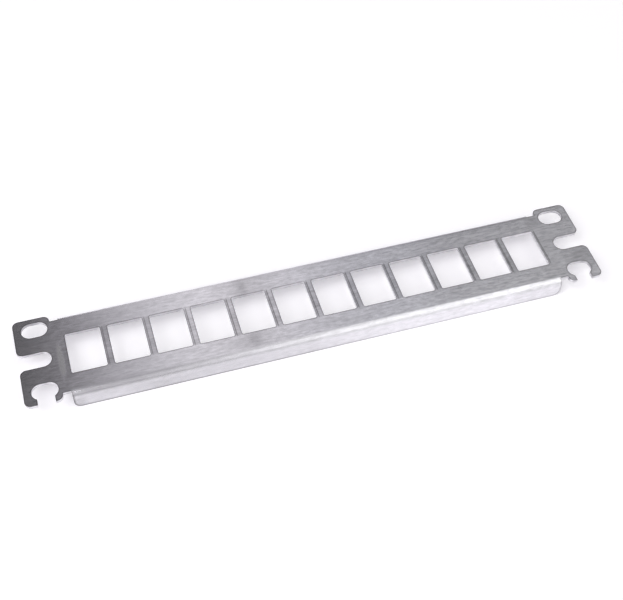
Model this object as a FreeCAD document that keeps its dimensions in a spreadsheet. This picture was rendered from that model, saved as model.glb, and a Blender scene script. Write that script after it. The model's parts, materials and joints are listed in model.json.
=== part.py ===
"""Ten-inch rack patch panel: one steel sheet with a row of jack ports, two slotted ears and two flanges.

The panel lies face up on the free edges of its flanges. X runs along it, Y up its height when it hangs in
a rack, and Z out of its front face. The origin is under the middle, on the surface that the panel stands on.
All sizes are in millimetres.
"""

import FreeCAD, Part
import Sketcher
import os

# Driving sizes: name, value and meaning, each written once
SIZES = [
    ("hole_span", 236.5, "between the rack holes of the two ears"),
    ("hole_pitch", 15.875, "between rack holes up the rail"),
    ("slot_length", 11.0, "rack slot, end to end along X"),
    ("slot_width", 7.6, "rack slot, clear of a rack screw"),
    ("hook_gap", 7.2, "mouth of the lowest slot, in the lower edge of the ear"),
    ("end_rim", 3.25, "metal between a slot and the end of the panel"),
    ("outer_rim", 2.325, "metal between a slot and the upper edge of the ear"),
    ("inner_rim", 1.25, "metal between a slot and the inner edge of the ear"),
    ("notch_depth", 13.8, "side notch, from its round end to the end of the panel"),
    ("lug_radius", 2.6, "outer corners of the ears and of the side notches"),
    ("shoulder_radius", 2.6, "inner corners of the ears"),
    ("sheet_thickness", 1.5, "the one sheet that everything is made of"),
    ("inner_bend_radius", 1.5, "inside the two folds"),
    ("ear_step", 1.0, "how far the ears stand out past the flanges"),
    ("flange_depth", 9.0, "front face to the free edges of the flanges"),
    ("flange_corner_radius", 3.3, "free corners of the flanges"),
    ("relief_width", 3.5, "gap between an ear and the end of a flange"),
    ("relief_land", 0.85, "flat metal left outside the fold line in that gap"),
    ("relief_radius", 0.3, "inside corner of that gap, at the ear"),
    ("port_width", 14.9, "jack port, along X"),
    ("port_height", 20.4, "jack port, along Y"),
    ("port_radius", 0.8, "corners of the jack ports"),
    ("port_bar", 3.1, "metal between two jack ports"),
    ("port_margin", 0.5, "least metal between the last port and the end of a flange"),
]

# Places worked out from the driving sizes, as the document writes them
SLOT_CENTRE = "Sizes.hole_span / 2"
EAR_END = "(Sizes.hole_span / 2 + Sizes.slot_length / 2 + Sizes.end_rim)"
EAR_INNER = "(Sizes.hole_span / 2 - Sizes.slot_length / 2 - Sizes.inner_rim)"
EAR_TOP = "(Sizes.hole_pitch + Sizes.slot_width / 2 + Sizes.outer_rim)"
FLANGE_END = f"({EAR_INNER} - Sizes.relief_width)"
BEND_RADIUS = "(Sizes.inner_bend_radius + Sizes.sheet_thickness)"
BEND_HEIGHT = f"(Sizes.flange_depth - {BEND_RADIUS})"
FOLD_LINE = f"({EAR_TOP} - Sizes.ear_step - {BEND_RADIUS})"
RELIEF_FLOOR = f"({FOLD_LINE} + Sizes.relief_land)"
BACK_FACE = "(Sizes.flange_depth - Sizes.sheet_thickness)"
SLOT_REACH = "(Sizes.slot_length - Sizes.slot_width) / 2"
NOTCH_CENTRE = f"({EAR_END} - Sizes.notch_depth + Sizes.slot_width / 2)"
NOTCH_MOUTH = f"({EAR_END} + Sizes.end_rim)"
PORT_PITCH = "(Sizes.port_width + Sizes.port_bar)"
PORT_COUNT = f"floor((2 * ({FLANGE_END} - Sizes.port_margin) + Sizes.port_bar) / {PORT_PITCH})"
FIRST_PORT = f"(-({PORT_COUNT} - 1) / 2 * {PORT_PITCH})"

# A sketch's names for its origin, its level axis, and the points of a line or an arc
ORIGIN = (-1, 1)
X_AXIS = -1
START, END, CENTRE = 1, 2, 3

QUARTER_TURN = 1.5707963267948966
NEAR = 1e-4


def point(x, y):
    return FreeCAD.Vector(x, y, 0)


def make_sheet(doc):
    """The spreadsheet of driving sizes."""
    sheet = doc.addObject("Spreadsheet::Sheet", "Sizes")
    for row, (name, value, meaning) in enumerate(SIZES, start=1):
        sheet.set(f"A{row}", name)
        sheet.set(f"B{row}", str(value))
        sheet.set(f"C{row}", meaning)
        sheet.setAlias(f"B{row}", name)
    doc.recompute()
    return sheet


def origin_feature(body, role):
    """A plane or an axis of the body's own origin."""
    return next(item for item in body.Origin.OriginFeatures if item.Role == role)


def new_sketch(body, name, plane, height=None):
    """An empty sketch on an origin plane of the body, or at a height above it."""
    sketch = body.newObject("Sketcher::SketchObject", name)
    sketch.AttachmentSupport = [(origin_feature(body, plane), "")]
    sketch.MapMode = "FlatFace"
    if height:
        sketch.setExpression(".AttachmentOffset.Base.z", height)
    return sketch


def bind(sketch, name, constraint, expression):
    """Add a dimension to a sketch and tie it to an expression."""
    index = sketch.addConstraint(constraint)
    sketch.renameConstraint(index, name)
    sketch.setExpression(f"Constraints.{name}", expression)


def pin(sketch, name, axis, element, end, expression):
    """Hold one point of an element at a distance from the sketch's origin."""
    value = sketch.Document.Sizes.evalExpression(expression)
    bind(sketch, name, Sketcher.Constraint(f"Distance{axis}", *ORIGIN, element, end, value), expression)


def stepped_outline(sketch, name, corners):
    """A closed outline of level and upright lines, from corners that are pairs of expressions."""
    evaluate = sketch.Document.Sizes.evalExpression
    places = [point(evaluate(x), evaluate(y)) for x, y in corners]
    first = sketch.GeometryCount
    sketch.addGeometry([Part.LineSegment(*ends) for ends in zip(places, places[1:] + places[:1])])
    for index, (x, y) in enumerate(corners):
        line = first + index
        following = (index + 1) % len(corners)
        sketch.addConstraint(Sketcher.Constraint("Coincident", line, END, first + following, START))
        if y == corners[following][1]:
            sketch.addConstraint(Sketcher.Constraint("Horizontal", line))
            pin(sketch, f"{name}_{index}", "Y", line, START, y)
        else:
            sketch.addConstraint(Sketcher.Constraint("Vertical", line))
            pin(sketch, f"{name}_{index}", "X", line, START, x)


def rectangle(sketch, name, left, right, bottom, top):
    stepped_outline(sketch, name, [(left, bottom), (right, bottom), (right, top), (left, top)])


def rack_slot_outline(sketch):
    """The uppermost rack slot of the right ear, with full-round ends."""
    evaluate = sketch.Document.Sizes.evalExpression
    middle = evaluate(SLOT_CENTRE)
    reach = evaluate(SLOT_REACH)
    height = evaluate("Sizes.hole_pitch")
    radius = evaluate("Sizes.slot_width / 2")
    right_circle = Part.Circle(point(middle + reach, height), FreeCAD.Vector(0, 0, 1), radius)
    left_circle = Part.Circle(point(middle - reach, height), FreeCAD.Vector(0, 0, 1), radius)
    right, upper, left, lower = sketch.addGeometry([
        Part.ArcOfCircle(right_circle, -QUARTER_TURN, QUARTER_TURN),
        Part.LineSegment(point(middle + reach, height + radius), point(middle - reach, height + radius)),
        Part.ArcOfCircle(left_circle, QUARTER_TURN, 3 * QUARTER_TURN),
        Part.LineSegment(point(middle - reach, height - radius), point(middle + reach, height - radius)),
    ])
    for before, after in ((right, upper), (upper, left), (left, lower), (lower, right)):
        sketch.addConstraint(Sketcher.Constraint("Tangent", before, END, after, START))
    sketch.addConstraint(Sketcher.Constraint("Equal", right, left))
    sketch.addConstraint(Sketcher.Constraint("Horizontal", left, CENTRE, right, CENTRE))
    bind(sketch, "end_radius", Sketcher.Constraint("Radius", right, radius), "Sizes.slot_width / 2")
    pin(sketch, "right_centre", "X", right, CENTRE, f"{SLOT_CENTRE} + {SLOT_REACH}")
    pin(sketch, "left_centre", "X", left, CENTRE, f"{SLOT_CENTRE} - {SLOT_REACH}")
    pin(sketch, "height", "Y", right, CENTRE, "Sizes.hole_pitch")


def side_notch_outline(sketch):
    """The right ear's side notch: a full-round end, and a mouth past the end of the panel."""
    evaluate = sketch.Document.Sizes.evalExpression
    middle = evaluate(NOTCH_CENTRE)
    mouth_place = evaluate(NOTCH_MOUTH)
    radius = evaluate("Sizes.slot_width / 2")
    circle = Part.Circle(point(middle, 0), FreeCAD.Vector(0, 0, 1), radius)
    round_end, lower, mouth, upper = sketch.addGeometry([
        Part.ArcOfCircle(circle, QUARTER_TURN, 3 * QUARTER_TURN),
        Part.LineSegment(point(middle, -radius), point(mouth_place, -radius)),
        Part.LineSegment(point(mouth_place, -radius), point(mouth_place, radius)),
        Part.LineSegment(point(mouth_place, radius), point(middle, radius)),
    ])
    sketch.addConstraint([
        Sketcher.Constraint("Tangent", round_end, END, lower, START),
        Sketcher.Constraint("Coincident", lower, END, mouth, START),
        Sketcher.Constraint("Coincident", mouth, END, upper, START),
        Sketcher.Constraint("Tangent", upper, END, round_end, START),
        Sketcher.Constraint("Horizontal", lower),
        Sketcher.Constraint("Horizontal", upper),
        Sketcher.Constraint("Vertical", mouth),
        Sketcher.Constraint("PointOnObject", round_end, CENTRE, X_AXIS),
    ])
    bind(sketch, "end_radius", Sketcher.Constraint("Radius", round_end, radius), "Sizes.slot_width / 2")
    pin(sketch, "centre", "X", round_end, CENTRE, NOTCH_CENTRE)
    pin(sketch, "mouth", "X", mouth, START, NOTCH_MOUTH)


def flange_outline(sketch):
    """Section of one fold and its flange, seen along the panel: Y to the right, Z up."""
    evaluate = sketch.Document.Sizes.evalExpression
    fold = evaluate(FOLD_LINE)
    bend_height = evaluate(BEND_HEIGHT)
    inner = evaluate("Sizes.inner_bend_radius")
    outer = evaluate(BEND_RADIUS)
    bend_centre = point(fold, bend_height)
    upward = FreeCAD.Vector(0, 0, 1)
    outer_bend, outer_wall, free_edge, inner_wall, inner_bend, joint = sketch.addGeometry([
        Part.ArcOfCircle(Part.Circle(bend_centre, upward, outer), 0, QUARTER_TURN),
        Part.LineSegment(point(fold + outer, bend_height), point(fold + outer, 0)),
        Part.LineSegment(point(fold + outer, 0), point(fold + inner, 0)),
        Part.LineSegment(point(fold + inner, 0), point(fold + inner, bend_height)),
        Part.ArcOfCircle(Part.Circle(bend_centre, upward, inner), 0, QUARTER_TURN),
        Part.LineSegment(point(fold, bend_height + inner), point(fold, bend_height + outer)),
    ])
    sketch.addConstraint([
        Sketcher.Constraint("Tangent", outer_bend, START, outer_wall, START),
        Sketcher.Constraint("Coincident", outer_wall, END, free_edge, START),
        Sketcher.Constraint("Coincident", free_edge, END, inner_wall, START),
        Sketcher.Constraint("Tangent", inner_wall, END, inner_bend, START),
        Sketcher.Constraint("Coincident", inner_bend, END, joint, START),
        Sketcher.Constraint("Coincident", joint, END, outer_bend, END),
        Sketcher.Constraint("Coincident", outer_bend, CENTRE, inner_bend, CENTRE),
        Sketcher.Constraint("Vertical", outer_bend, CENTRE, joint, START),
        Sketcher.Constraint("Vertical", joint),
        Sketcher.Constraint("Vertical", outer_wall),
        Sketcher.Constraint("Vertical", inner_wall),
        Sketcher.Constraint("PointOnObject", free_edge, START, X_AXIS),
        Sketcher.Constraint("PointOnObject", free_edge, END, X_AXIS),
    ])
    bind(sketch, "outer_radius", Sketcher.Constraint("Radius", outer_bend, outer), BEND_RADIUS)
    bind(sketch, "inner_radius", Sketcher.Constraint("Radius", inner_bend, inner), "Sizes.inner_bend_radius")
    pin(sketch, "fold_line", "X", outer_bend, CENTRE, FOLD_LINE)
    pin(sketch, "bend_height", "Y", outer_bend, CENTRE, BEND_HEIGHT)


def pad(body, name, sketch, length, both_ways=False):
    feature = body.newObject("PartDesign::Pad", name)
    feature.Profile = sketch
    feature.setExpression("Length", length)
    if both_ways:
        feature.SideType = "Symmetric"
    body.Document.recompute()
    return feature


def pocket(body, name, sketch):
    """Cut down through the sheet, and make sure that metal went."""
    before = body.Shape.Volume
    feature = body.newObject("PartDesign::Pocket", name)
    feature.Profile = sketch
    feature.Type = "ThroughAll"
    body.Document.recompute()
    if body.Shape.Volume > before - NEAR:
        raise RuntimeError(f"{name} cuts nothing")
    return feature


def linear_pattern(body, name, feature, axis, spacing, count, backwards=False):
    pattern = body.newObject("PartDesign::LinearPattern", name)
    pattern.Originals = [feature]
    pattern.Direction = (feature.Profile[0], [axis])
    pattern.Reversed = backwards
    pattern.Mode = "Spacing"
    pattern.setExpression("Offset", spacing)
    pattern.setExpression("Occurrences", count)
    body.Tip = pattern
    body.Document.recompute()
    return pattern


def mirror(body, name, plane):
    """Everything so far, with its reflection in an origin plane."""
    feature = body.newObject("PartDesign::Mirrored", name)
    feature.TransformMode = "Whole shape"
    feature.MirrorPlane = (origin_feature(body, plane), [""])
    body.Tip = feature
    body.Document.recompute()
    return feature


def fillet(body, name, radius, chosen):
    """Round the edges that the chosen test picks."""
    base = body.Tip
    names = [f"Edge{number}" for number, edge in enumerate(base.Shape.Edges, start=1) if chosen(edge)]
    if not names:
        raise RuntimeError(f"{name} finds no edge")
    feature = body.newObject("PartDesign::Fillet", name)
    feature.Base = (base, names)
    feature.setExpression("Radius", radius)
    body.Document.recompute()
    return feature


def along(edge, axis):
    """True for a straight edge that runs along an axis: 0 for X, 1 for Y, 2 for Z."""
    if not isinstance(edge.Curve, Part.Line):
        return False
    return abs(abs(edge.Curve.Direction[axis]) - 1) < NEAR


def upright_at(sheet, x, y):
    """A test for the upright edges at a place to either side of both middle lines."""
    place = (sheet.evalExpression(x), sheet.evalExpression(y))

    def chosen(edge):
        if not along(edge, 2):
            return False
        middle = edge.CenterOfMass
        return abs(abs(middle.x) - place[0]) < NEAR and abs(abs(middle.y) - place[1]) < NEAR

    return chosen


def fold_flanges(body):
    """The front face between the ears, and a flange folded back from each of its long edges."""
    face = new_sketch(body, "face_outline", "XY_Plane", BACK_FACE)
    rectangle(face, "face", f"-{FLANGE_END}", FLANGE_END, f"-{FOLD_LINE}", FOLD_LINE)
    pad(body, "face", face, "Sizes.sheet_thickness")

    section = new_sketch(body, "flange_section", "YZ_Plane")
    flange_outline(section)
    pad(body, "flange", section, f"2 * {FLANGE_END}", both_ways=True)

    def free_corner(edge):
        return along(edge, 1) and edge.CenterOfMass.z < NEAR and edge.CenterOfMass.y > 0

    fillet(body, "flange_corners", "Sizes.flange_corner_radius", free_corner)
    mirror(body, "both_flanges", "XZ_Plane")


def add_ears(body, sheet):
    """The right ear with its closed slot, side notch and hook, and the left ear as its reflection."""
    ear = new_sketch(body, "ear_outline", "XY_Plane", BACK_FACE)
    stepped_outline(ear, "ear", [
        (FLANGE_END, f"-{RELIEF_FLOOR}"),
        (EAR_INNER, f"-{RELIEF_FLOOR}"),
        (EAR_INNER, f"-{EAR_TOP}"),
        (EAR_END, f"-{EAR_TOP}"),
        (EAR_END, EAR_TOP),
        (EAR_INNER, EAR_TOP),
        (EAR_INNER, RELIEF_FLOOR),
        (FLANGE_END, RELIEF_FLOOR),
    ])
    pad(body, "ear", ear, "Sizes.sheet_thickness")
    fillet(body, "ear_corners", "Sizes.lug_radius", upright_at(sheet, EAR_END, EAR_TOP))
    fillet(body, "shoulders", "Sizes.shoulder_radius", upright_at(sheet, EAR_INNER, EAR_TOP))
    fillet(body, "relief_corners", "Sizes.relief_radius", upright_at(sheet, EAR_INNER, RELIEF_FLOOR))

    slot = new_sketch(body, "slot_outline", "XY_Plane", "Sizes.flange_depth")
    rack_slot_outline(slot)
    upper_slot = pocket(body, "rack_slot", slot)
    linear_pattern(body, "rack_slots", upper_slot, "V_Axis", "2 * Sizes.hole_pitch", "2", backwards=True)

    hook_mouth = new_sketch(body, "hook_mouth_outline", "XY_Plane", "Sizes.flange_depth")
    half_gap = "Sizes.hook_gap / 2"
    rectangle(hook_mouth, "mouth", f"{SLOT_CENTRE} - {half_gap}", f"{SLOT_CENTRE} + {half_gap}",
              f"-{EAR_TOP} - Sizes.outer_rim", "-Sizes.hole_pitch")
    pocket(body, "hook_mouth", hook_mouth)

    notch = new_sketch(body, "side_notch_outline", "XY_Plane", "Sizes.flange_depth")
    side_notch_outline(notch)
    pocket(body, "side_notch", notch)
    fillet(body, "notch_corners", "Sizes.lug_radius", upright_at(sheet, EAR_END, "Sizes.slot_width / 2"))
    mirror(body, "both_ears", "YZ_Plane")


def cut_ports(body, sheet):
    """The row of jack ports, as many as fit between the ends of the flanges."""
    outline = new_sketch(body, "port_outline", "XY_Plane", "Sizes.flange_depth")
    half_width = "Sizes.port_width / 2"
    half_height = "Sizes.port_height / 2"
    rectangle(outline, "port", f"{FIRST_PORT} - {half_width}", f"{FIRST_PORT} + {half_width}",
              f"-{half_height}", half_height)
    first_port = pocket(body, "port", outline)
    linear_pattern(body, "ports", first_port, "H_Axis", PORT_PITCH, PORT_COUNT)
    corner_height = sheet.evalExpression(half_height)

    def port_corner(edge):
        return along(edge, 2) and abs(abs(edge.CenterOfMass.y) - corner_height) < NEAR

    fillet(body, "port_corners", "Sizes.port_radius", port_corner)


def check(doc, bodies):
    """Stop if a feature failed or a body isn't one valid solid."""
    for item in doc.Objects:
        if "Invalid" in item.State or "Error" in item.State:
            raise RuntimeError(f"{item.Name} failed: {item.State}")
    for body in bodies:
        if body.Shape.isNull() or not body.Shape.isValid() or len(body.Shape.Solids) != 1:
            raise RuntimeError(f"{body.Label} isn't one valid solid")


def build():
    doc = FreeCAD.newDocument("rack_panel")
    sheet = make_sheet(doc)
    body = doc.addObject("PartDesign::Body", "panel_sheet")
    body.Label = "panel_sheet"
    fold_flanges(body)
    add_ears(body, sheet)
    cut_ports(body, sheet)
    doc.recompute()
    check(doc, [body])

    os.makedirs("parts", exist_ok=True)
    body.Shape.exportStep(f"parts/{body.Label}.step")
    box = body.Shape.BoundBox
    print(f"{body.Label}: {box.XLength:.2f} x {box.YLength:.2f} x {box.ZLength:.2f} mm")
    print(f"volume {body.Shape.Volume:.1f} mm3, {len(body.Shape.Faces)} faces")


build()
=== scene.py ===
"""Brushed steel rack patch panel lying face up on a white table, seen from the photograph's angle.

Lengths are in metres unless a name says otherwise. X runs along the panel, Y across it and Z out of its face.
"""

import json
import math

import bpy
from mathutils import Matrix, Vector

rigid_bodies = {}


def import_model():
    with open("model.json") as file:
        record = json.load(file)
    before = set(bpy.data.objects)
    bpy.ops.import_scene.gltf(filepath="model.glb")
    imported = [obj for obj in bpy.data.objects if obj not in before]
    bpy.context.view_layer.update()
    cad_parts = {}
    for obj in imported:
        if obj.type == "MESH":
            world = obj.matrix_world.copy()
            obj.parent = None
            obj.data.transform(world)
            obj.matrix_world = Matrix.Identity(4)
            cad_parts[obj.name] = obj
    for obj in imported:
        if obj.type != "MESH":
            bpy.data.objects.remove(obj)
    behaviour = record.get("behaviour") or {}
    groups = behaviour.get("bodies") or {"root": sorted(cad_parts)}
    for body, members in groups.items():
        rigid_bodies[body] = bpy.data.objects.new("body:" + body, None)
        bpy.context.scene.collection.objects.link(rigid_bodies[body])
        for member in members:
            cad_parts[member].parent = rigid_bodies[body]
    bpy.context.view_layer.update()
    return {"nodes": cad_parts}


PANEL = "panel_sheet"
MM = 0.001

# The camera, from a fit of the panel's known sizes to the photograph
CAMERA_POSITION = Vector((-0.0909, -0.2833, 0.3835))
CAMERA_AIM = Vector((-0.0013, -0.0006, 0.009))
CAMERA_ROLL_DEG = 1.28
LENS_MM = 63.9
SENSOR_MM = 36.0
NEAREST_SEEN = 0.01

# The cut edges are deburred
DEBURR_RADIUS = 0.4 * MM
DEBURR_STEPS = 4
SHARP_EDGE_DEG = 40.0
SAME_POINT = 1e-6

# Where the sheet's flat face ends and its folds begin, and the flanges' outer faces, ends and free corners
FOLD_LINE = 18.0 * MM
OUTER_FACE = 21.0 * MM
FLANGE_END = 108.0 * MM
FLANGE_CORNER = 3.3 * MM

# The bars between the ports: how soft their sides look, how far out the last ones stand, and where along Y
# they run out into the rails
BAR_PITCH = 18.0 * MM
BAR_WIDTH = 3.1 * MM
BAR_BLEND = 0.4 * MM
LAST_BAR = 100.0 * MM
BAR_RUN_OUT = (11.0 * MM, 9.3 * MM)

# Painted shade: a dark line beside the right edge of each port, where its rolled edge mirrors the dark side
# of the studio: how far left of the bar's middle, and how wide
PORT_EDGE_SHADE_OFFSET = 0.7 * MM
PORT_EDGE_SHADE_REACH = (0.42 * MM, 0.042 * MM)

STEEL = (0.855, 0.845, 0.88)
WALL_ROUGHNESS = 0.15
BRUSHING_BUMP = 0.12
BRUSHING_HEIGHT = 0.1 * MM

# The brushing's layers: cells a metre along X, Y and Z, fineness and share, from fine lines to hairlines
BRUSHING = [
    ((250.0, 1050.0, 1050.0), 1.0, 0.35),
    ((370.0, 560.0, 560.0), 1.0, 0.30),
    ((120.0, 3000.0, 3000.0), 2.0, 0.35),
]
# Cells a metre of the other noises: long bands, soft clouds and the spots on the bars
BANDS = (14.0, 300.0, 300.0)
CLOUDS = (35.0, 60.0, 60.0)
SPOTS = (60.0, 150.0, 150.0)

# Ranges: what lies between the first two numbers is carried to between the last two. By noise:
NOISE_RANGE = (0.3, 0.7)
BAND_LEVEL = (*NOISE_RANGE, 0.96, 1.02)
CLOUD_LEVEL = (*NOISE_RANGE, 0.94, 1.04)
BAR_LEVEL = (*NOISE_RANGE, 0.74, 0.98)
ROUGHNESS_RANGE = (*NOISE_RANGE, 0.24, 0.20)
# By the place along the panel:
GRAIN_DEPTH = (-80 * MM, 80 * MM, 0.66, 1.7)
LEFT_EAR_GRAIN = (-95 * MM, -112 * MM, 0.0, 0.9)
# painted shade beside the ports' right edges, deeper to the right
PORT_EDGE_SHADE_LEVEL = (-90 * MM, -30 * MM, 0.70, 0.50)
# the flanges' faces, duller, with painted shade that deepens to the left
FLANGE_TONE_AND_SHADE = (-50 * MM, 60 * MM, 0.81, 0.99)
# painted contact shadow along the flanges' free edges, deeper to the left
RIM_SHADOW_LEVEL = (-50 * MM, 30 * MM, 0.64, 0.82)
# By the normal: how level it is, how little an arris turns it, and how far it faces right or back, which
# deepens the painted shade on the arrises
FLATNESS = (0.10, 0.60)
ARRIS_TURN = (0.998, 0.93)
ARRIS_SHADE_LEVEL = (0.05, 0.25, 0.55, 0.38)

# How wide the painted shade beside an arris reaches, and how much of it the walls keep
ARRIS_SHADE_REACH = 1.0 * MM
ARRIS_SAMPLES = 8
ARRIS_SHADE_ON_WALL = 0.3

# The sheet's mean level, and how much of the grain's depth the folds keep
MEAN_LEVEL = 0.97
FOLD_GRAIN = 0.5

# Soft patches on the sheet, painted highlights and shade among them: where, how far they reach each way, and
# how bright they are
PATCHES_AND_PAINTED_LIGHT = [
    # painted highlight of a low ridge across the left ear, and a darker strip beside it
    ((-0.1097, -0.003, 0.009), (0.0018, 0.012, 0.002), 1.70),
    ((-0.1073, -0.004, 0.009), (0.0018, 0.014, 0.002), 0.86),
    # darker at the flange's left end and around x = -68 mm
    ((-0.1065, -0.021, 0.003), (0.0070, 0.003, 0.006), 0.82),
    ((-0.0680, -0.021, 0.003), (0.0220, 0.003, 0.006), 0.92),
    # painted shade: the dark reflection of something in the studio, across both rails near x = -29 mm
    ((-0.0288, 0.0140, 0.009), (0.0042, 0.0075, 0.002), 0.80),
    ((-0.0298, -0.0145, 0.009), (0.0046, 0.0060, 0.002), 0.80),
    # darker patches on the right ear
    ((0.1215, -0.008, 0.009), (0.0090, 0.012, 0.002), 0.82),
    ((0.1100, 0.015, 0.009), (0.0040, 0.006, 0.002), 0.84),
]

FLOOR_REACH = 4.0
FLOOR_COLOUR = (0.955, 0.945, 0.965)
FLOOR_GLOW = 0.19

SOFTBOX_POSITION = Vector((-0.60, -0.35, 0.95))
SOFTBOX_AIM = Vector((0.0, 0.0, 0.0))
SOFTBOX_SIZE = 0.8
SOFTBOX_WATTS = 4.5

# The studio's brightness by the sideways part of a direction, behind the panel and in front of it
STUDIO_BEHIND = [
    (-1.00, 0.40), (-0.50, 0.20), (-0.16, 0.02), (-0.08, 0.00), (-0.04, 0.15), (0.00, 0.42), (0.04, 0.64),
    (0.10, 0.86), (0.115, 0.80), (0.125, 0.34), (0.133, 0.38), (0.142, 0.66), (0.175, 0.66), (0.205, 0.42),
    (0.28, 0.37), (0.30, 0.25), (0.42, 0.21), (0.60, 0.34), (1.00, 0.60),
]
STUDIO_IN_FRONT = [
    (-1.00, 0.90), (-0.60, 0.90), (-0.40, 0.80), (-0.15, 0.50), (0.00, 0.52), (0.06, 0.66), (0.12, 0.86),
    (0.20, 1.08), (0.30, 1.15), (0.42, 1.20), (0.60, 1.00), (1.00, 0.80),
]
TINT_BEHIND = [
    (-1.00, (1.03, 1.0, 1.07)), (-0.04, (1.03, 1.0, 1.07)), (0.06, (1.02, 1.0, 1.04)),
    (0.13, (1.03, 1.0, 1.04)), (0.25, (1.0, 1.0, 1.09)), (0.40, (1.0, 1.0, 1.05)), (1.00, (1.0, 1.0, 1.05)),
]
TINT_IN_FRONT = [
    (-1.00, (1.02, 1.0, 1.04)), (0.00, (1.02, 1.0, 1.04)), (0.25, (1.0, 1.0, 1.0)), (1.00, (1.0, 1.0, 1.0)),
]
# The ramps hold this share of each level, and the ranges by a direction's upward part make up for it
RAMP_SHARE = 0.5
OVERHEAD_IN_FRONT = (0.93, 0.99, 2.25, 1.35)
LOW_IN_FRONT = (0.25, 0.60, 0.62, 1.0)
LOW_BEHIND = (0.0, 0.5, 1.2, 2.0)
# Where the front of the studio gives way to what is behind, by a direction's backward part
FRONT_TO_BEHIND = (0.18, 0.45)


def clear_scene():
    """Take away whatever the file opened with."""
    for item in list(bpy.data.objects):
        bpy.data.objects.remove(item)


class NodeTree:
    """Short calls for adding linked nodes to a material or the world."""

    def __init__(self, tree):
        self.tree = tree
        tree.nodes.clear()

    def add(self, kind, inputs=None, **settings):
        """A node with its settings, its inputs linked or set by name or number."""
        node = self.tree.nodes.new(kind)
        for name, value in settings.items():
            setattr(node, name, value)
        for name, value in (inputs or {}).items():
            if isinstance(value, bpy.types.NodeSocket):
                self.tree.links.new(value, node.inputs[name])
            else:
                node.inputs[name].default_value = value
        return node

    def maths(self, operation, first, second=0.0, third=0.0):
        return self.add("ShaderNodeMath", {0: first, 1: second, 2: third}, operation=operation).outputs[0]

    def product(self, factors):
        """Numbers multiplied together."""
        total = factors[0]
        for factor in factors[1:]:
            total = self.maths("MULTIPLY", total, factor)
        return total

    def level_where(self, mask, level):
        """A level where the mask is 1, and 1 where it is 0."""
        return self.maths("MULTIPLY_ADD", self.maths("SUBTRACT", level, 1.0), mask, 1.0)

    def remap(self, value, low, high, to_low=0.0, to_high=1.0, interpolation="SMOOTHSTEP"):
        """Carry a value from one range to another, held at the ends."""
        inputs = {"Value": value, "From Min": low, "From Max": high, "To Min": to_low, "To Max": to_high}
        return self.add("ShaderNodeMapRange", inputs, interpolation_type=interpolation).outputs[0]

    def noise(self, place, scale, detail=2.0):
        """Noise whose cells are 1 / scale metres along each axis."""
        stretched = self.add("ShaderNodeMapping", {"Vector": place, "Scale": scale}).outputs[0]
        inputs = {"Vector": stretched, "Scale": 1.0, "Detail": detail}
        return self.add("ShaderNodeTexNoise", inputs).outputs[0]

    def ramp(self, factor, stops):
        """A colour ramp whose stops are pairs of place and colour."""
        node = self.add("ShaderNodeValToRGB", {"Fac": factor})
        elements = node.color_ramp.elements
        elements[0].position, elements[1].position = stops[0][0], stops[-1][0]
        for place, colour in stops[1:-1]:
            elements.new(place)
        for element, (place, colour) in zip(elements, stops):
            element.color = (*colour, 1.0)
        return node.outputs["Color"]

    def split(self, vector):
        """A vector's X, Y and Z."""
        return self.add("ShaderNodeSeparateXYZ", {0: vector}).outputs

    def vector(self, operation, first, second):
        return self.add("ShaderNodeVectorMath", {0: first, 1: second}, operation=operation).outputs["Vector"]

    def length(self, vector):
        return self.add("ShaderNodeVectorMath", {0: vector}, operation="LENGTH").outputs["Value"]

    def scaled(self, colour, factor):
        """A colour, or a vector, times a number."""
        return self.add("ShaderNodeVectorMath", {0: colour, "Scale": factor}, operation="SCALE").outputs[0]


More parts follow.
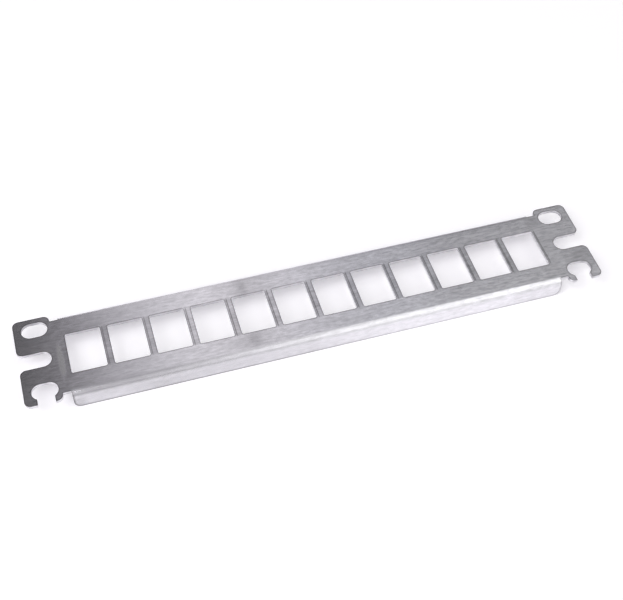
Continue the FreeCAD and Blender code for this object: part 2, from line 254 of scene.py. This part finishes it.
class PanelFinish:
    """The panel's brushed steel: where a point lies on the sheet, and how bright each feature and each patch
    of painted light and shade leaves it.
    """

    def __init__(self, nodes):
        self.nodes = nodes
        coordinates = nodes.add("ShaderNodeTexCoord")
        self.place = coordinates.outputs["Object"]
        self.x, y, self.z = nodes.split(self.place)
        self.far_x = nodes.maths("ABSOLUTE", self.x)
        self.far_y = nodes.maths("ABSOLUTE", y)
        normal_z = nodes.split(coordinates.outputs["Normal"])["Z"]

        # The walls of the cut: all that is steep, except the folds and flanges
        past_fold = nodes.maths("GREATER_THAN", self.far_y, FOLD_LINE - 0.05 * MM)
        before_end = nodes.maths("LESS_THAN", self.far_x, FLANGE_END - 0.4 * MM)
        self.fold = nodes.maths("MULTIPLY", past_fold, before_end)
        self.flat = nodes.remap(nodes.maths("ABSOLUTE", normal_z), *FLATNESS)
        self.wall = nodes.maths("SUBTRACT", 1.0, nodes.maths("MAXIMUM", self.flat, self.fold))

    def brushing(self):
        """Fine straight lines, short blotches and hairlines, about 0.5 on average."""
        nodes = self.nodes
        total = 0.0
        for scale, detail, share in BRUSHING:
            total = nodes.maths("MULTIPLY_ADD", nodes.noise(self.place, scale, detail), share, total)
        return total

    def grain_level(self, brushing):
        """The brushing as light and dark, with long bands and soft clouds, and calmer on the folds."""
        nodes = self.nodes
        depth = nodes.remap(self.x, *GRAIN_DEPTH, "LINEAR")
        depth = nodes.maths("ADD", depth, nodes.remap(self.x, *LEFT_EAR_GRAIN))
        depth = nodes.maths("MULTIPLY", depth, nodes.level_where(self.fold, FOLD_GRAIN))
        grain = nodes.maths("MULTIPLY_ADD", nodes.maths("SUBTRACT", brushing, 0.5), depth, MEAN_LEVEL)
        bands = nodes.remap(nodes.noise(self.place, BANDS), *BAND_LEVEL, "LINEAR")
        clouds = nodes.remap(nodes.noise(self.place, CLOUDS), *CLOUD_LEVEL, "LINEAR")
        return nodes.product([grain, bands, clouds])

    def arris_painted_shade(self):
        """Painted shade on every arris and the band beside it, deeper where it faces right or back."""
        nodes = self.nodes
        rounded = nodes.add("ShaderNodeBevel", {"Radius": ARRIS_SHADE_REACH}, samples=ARRIS_SAMPLES).outputs[0]
        true_normal = nodes.add("ShaderNodeNewGeometry").outputs["True Normal"]
        likeness = nodes.add("ShaderNodeVectorMath", {0: rounded, 1: true_normal}, operation="DOT_PRODUCT")
        arris_shade = nodes.remap(likeness.outputs["Value"], *ARRIS_TURN)
        arris_shade = nodes.maths("MULTIPLY", arris_shade, nodes.level_where(self.wall, ARRIS_SHADE_ON_WALL))
        rightward, backward, _ = nodes.split(rounded)
        # Deeper painted shade where the rounded edge faces right or back, standing for the dark studio it
        # mirrors
        level = nodes.remap(nodes.maths("MAXIMUM", rightward, backward), *ARRIS_SHADE_LEVEL)
        return nodes.level_where(arris_shade, level)

    def bar_tone_and_edge_shade(self):
        """The bars, a little duller than the rest and each different, with painted shade along one side: a
        dark line beside each port's right edge.
        """
        nodes = self.nodes
        number = nodes.maths("ROUND", nodes.maths("DIVIDE", self.x, BAR_PITCH))
        aside = nodes.maths("SUBTRACT", self.x, nodes.maths("MULTIPLY", number, BAR_PITCH))
        beside = nodes.remap(
            nodes.maths("ABSOLUTE", aside), 0.5 * BAR_WIDTH + BAR_BLEND, 0.5 * BAR_WIDTH - BAR_BLEND)
        between = nodes.remap(self.far_y, *BAR_RUN_OUT)
        within = nodes.maths("LESS_THAN", self.far_x, LAST_BAR)
        bar = nodes.product([beside, between, within])
        dullness = nodes.remap(nodes.noise(self.place, SPOTS, detail=3.0), *BAR_LEVEL, "LINEAR")

        # Painted shade beside the right edge of each port, deeper to the right
        from_line = nodes.maths("ABSOLUTE", nodes.maths("ADD", aside, PORT_EDGE_SHADE_OFFSET))
        port_edge_shade = nodes.remap(from_line, *PORT_EDGE_SHADE_REACH)
        from_ports = nodes.maths("ABSOLUTE", nodes.maths("SUBTRACT", self.x, 0.5 * BAR_PITCH))
        beside_port = nodes.maths("LESS_THAN", from_ports, LAST_BAR)
        port_edge_shade = nodes.product([port_edge_shade, between, beside_port, self.flat])
        port_edge_shade_level = nodes.level_where(port_edge_shade, nodes.remap(self.x, *PORT_EDGE_SHADE_LEVEL))
        return nodes.maths("MULTIPLY", nodes.level_where(bar, dullness), port_edge_shade_level)

    def flange_tone_and_shade(self):
        """The flanges' outer faces, duller and with painted shade that deepens to the left, and their rim: a
        grey line of painted contact shadow that follows the free edge and rounded corners.
        """
        nodes = self.nodes
        outermost = nodes.remap(self.far_y, OUTER_FACE - 0.8 * MM, OUTER_FACE - 0.1 * MM)
        before_end = nodes.maths("LESS_THAN", self.far_x, FLANGE_END + 0.1 * MM)
        on_flange = nodes.maths("MULTIPLY", outermost, before_end)
        # Duller flange faces, with painted shade deepening to the left
        flange_face_tone_and_shade = nodes.level_where(on_flange, nodes.remap(self.x, *FLANGE_TONE_AND_SHADE))

        # Painted contact shadow: a grey line along the free edge and rounded corners, where the flange meets
        # the table
        past_corner = nodes.maths("SUBTRACT", self.far_x, FLANGE_END - FLANGE_CORNER)
        below_corner = nodes.maths("SUBTRACT", FLANGE_CORNER, self.z)
        from_corner = nodes.add("ShaderNodeCombineXYZ", {
            "X": nodes.maths("MAXIMUM", past_corner, 0.0),
            "Y": nodes.maths("MAXIMUM", below_corner, 0.0),
        })
        outward = nodes.length(from_corner.outputs[0])
        rim_shadow = nodes.remap(outward, FLANGE_CORNER - 1.1 * MM, FLANGE_CORNER - 0.4 * MM)
        rim_shadow = nodes.maths("MULTIPLY", rim_shadow, on_flange)
        rim_shadow_level = nodes.level_where(rim_shadow, nodes.remap(self.x, *RIM_SHADOW_LEVEL))
        return nodes.maths("MULTIPLY", flange_face_tone_and_shade, rim_shadow_level)

    def patch_and_painted_light_levels(self):
        """One level for each soft patch, painted highlights and shade among them."""
        nodes = self.nodes
        levels = []
        for centre, reach, level in PATCHES_AND_PAINTED_LIGHT:
            offset = nodes.vector("DIVIDE", nodes.vector("SUBTRACT", self.place, centre), reach)
            levels.append(nodes.remap(nodes.length(offset), 0.0, 1.0, level, 1.0))
        return levels


def brushed_steel(name):
    """Steel brushed along X, duller on its cut walls, with painted shade on their arrises."""
    material = bpy.data.materials.new(name)
    material.use_nodes = True
    nodes = NodeTree(material.node_tree)
    finish = PanelFinish(nodes)
    brushing = finish.brushing()
    level = nodes.product([
        finish.grain_level(brushing),
        finish.arris_painted_shade(),
        finish.bar_tone_and_edge_shade(),
        finish.flange_tone_and_shade(),
        *finish.patch_and_painted_light_levels(),
    ])
    roughness = nodes.remap(brushing, *ROUGHNESS_RANGE, "LINEAR")
    roughness = nodes.maths("MULTIPLY_ADD", finish.wall, WALL_ROUGHNESS, roughness)
    bump = nodes.add("ShaderNodeBump", {
        "Height": brushing,
        "Strength": BRUSHING_BUMP,
        "Distance": BRUSHING_HEIGHT,
    }).outputs[0]
    along = nodes.add("ShaderNodeCombineXYZ", {"X": 1.0}).outputs[0]
    shader = nodes.add("ShaderNodeBsdfPrincipled", {
        "Base Color": nodes.scaled(STEEL, level),
        "Metallic": 1.0,
        "Roughness": roughness,
        "Anisotropic": 1.0,
        "Anisotropic Rotation": 0.25,
        "Tangent": along,
        "Normal": bump,
    })
    nodes.add("ShaderNodeOutputMaterial", {"Surface": shader.outputs[0]})
    return material


def dress_panel(panel):
    """Round the cut edges and give the sheet its finish."""
    weld = panel.modifiers.new("weld", "WELD")
    weld.merge_threshold = SAME_POINT
    deburr = panel.modifiers.new("deburr", "BEVEL")
    deburr.width = DEBURR_RADIUS
    deburr.segments = DEBURR_STEPS
    deburr.limit_method = "ANGLE"
    deburr.angle_limit = math.radians(SHARP_EDGE_DEG)
    deburr.harden_normals = True
    even = panel.modifiers.new("even_shading", "WEIGHTED_NORMAL")
    even.mode = "FACE_AREA_WITH_ANGLE"
    panel.material_slots[0].material = brushed_steel("brushed_steel")


def make_floor():
    """A white table that keeps the panel's shadow, a little lighter to the camera and in reflections."""
    bpy.ops.mesh.primitive_plane_add(size=FLOOR_REACH)
    floor = bpy.context.object
    floor.name = "floor"
    material = bpy.data.materials.new("white_table")
    material.use_nodes = True
    nodes = NodeTree(material.node_tree)
    table = nodes.add("ShaderNodeBsdfDiffuse", {"Color": (*FLOOR_COLOUR, 1.0)}).outputs[0]
    light_path = nodes.add("ShaderNodeLightPath")
    seen = nodes.maths("MAXIMUM", light_path.outputs["Is Camera Ray"], light_path.outputs["Is Glossy Ray"])
    glow = nodes.add("ShaderNodeEmission", {"Strength": nodes.maths("MULTIPLY", seen, FLOOR_GLOW)}).outputs[0]
    surface = nodes.add("ShaderNodeAddShader", {0: table, 1: glow})
    nodes.add("ShaderNodeOutputMaterial", {"Surface": surface.outputs[0]})
    floor.data.materials.append(material)


def studio_side(nodes, sideways, levels, tints):
    """One side of the studio, by the sideways part of a direction, carried from 0 to 1."""
    level = nodes.ramp(sideways, [(0.5 + 0.5 * side, 3 * (RAMP_SHARE * value,)) for side, value in levels])
    tint = nodes.ramp(sideways, [(0.5 + 0.5 * side, colour) for side, colour in tints])
    return nodes.vector("MULTIPLY", level, tint)


def make_world():
    """A white backdrop, with the studio's light and dark sides around the table."""
    world = bpy.data.worlds.new("studio")
    world.use_nodes = True
    bpy.context.scene.world = world
    nodes = NodeTree(world.node_tree)
    direction = nodes.add("ShaderNodeTexCoord").outputs["Generated"]
    x, y, z = nodes.split(direction)
    sideways = nodes.maths("MULTIPLY_ADD", x, 0.5, 0.5)
    in_front = studio_side(nodes, sideways, STUDIO_IN_FRONT, TINT_IN_FRONT)
    in_front = nodes.scaled(in_front, nodes.remap(z, *OVERHEAD_IN_FRONT))
    in_front = nodes.scaled(in_front, nodes.remap(z, *LOW_IN_FRONT))
    behind = studio_side(nodes, sideways, STUDIO_BEHIND, TINT_BEHIND)
    behind = nodes.scaled(behind, nodes.remap(z, *LOW_BEHIND))
    backward = nodes.remap(y, *FRONT_TO_BEHIND)
    surroundings = nodes.add("ShaderNodeMix", {0: backward, 4: in_front, 5: behind}, data_type="VECTOR")
    studio = nodes.add("ShaderNodeBackground", {"Color": surroundings.outputs[1], "Strength": 1.0}).outputs[0]
    backdrop = nodes.add("ShaderNodeBackground", {"Color": (1.0, 1.0, 1.0, 1.0), "Strength": 1.0}).outputs[0]
    camera_ray = nodes.add("ShaderNodeLightPath").outputs["Is Camera Ray"]
    mixed = nodes.add("ShaderNodeMixShader", {0: camera_ray, 1: studio, 2: backdrop})
    nodes.add("ShaderNodeOutputWorld", {"Surface": mixed.outputs[0]})


def make_softbox():
    """One square lamp, high in front and to the left."""
    data = bpy.data.lights.new("softbox", "AREA")
    data.shape = "SQUARE"
    data.size = SOFTBOX_SIZE
    data.energy = SOFTBOX_WATTS
    light = bpy.data.objects.new("softbox", data)
    light.location = SOFTBOX_POSITION
    light.rotation_euler = (SOFTBOX_AIM - SOFTBOX_POSITION).to_track_quat("-Z", "Y").to_euler()
    bpy.context.scene.collection.objects.link(light)


def make_camera():
    """The photograph's camera."""
    data = bpy.data.cameras.new("camera")
    data.lens = LENS_MM
    data.sensor_width = SENSOR_MM
    data.clip_start = NEAREST_SEEN
    camera = bpy.data.objects.new("camera", data)
    aim = (CAMERA_AIM - CAMERA_POSITION).to_track_quat("-Z", "Y").to_matrix()
    roll = Matrix.Rotation(math.radians(CAMERA_ROLL_DEG), 3, "Z")
    camera.matrix_world = Matrix.LocRotScale(CAMERA_POSITION, (aim @ roll).to_quaternion(), None)
    bpy.context.scene.collection.objects.link(camera)
    bpy.context.scene.camera = camera


clear_scene()
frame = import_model()

dress_panel(frame["nodes"][PANEL])
make_floor()
make_world()
make_softbox()
make_camera()
bpy.context.scene.view_settings.view_transform = "Standard"
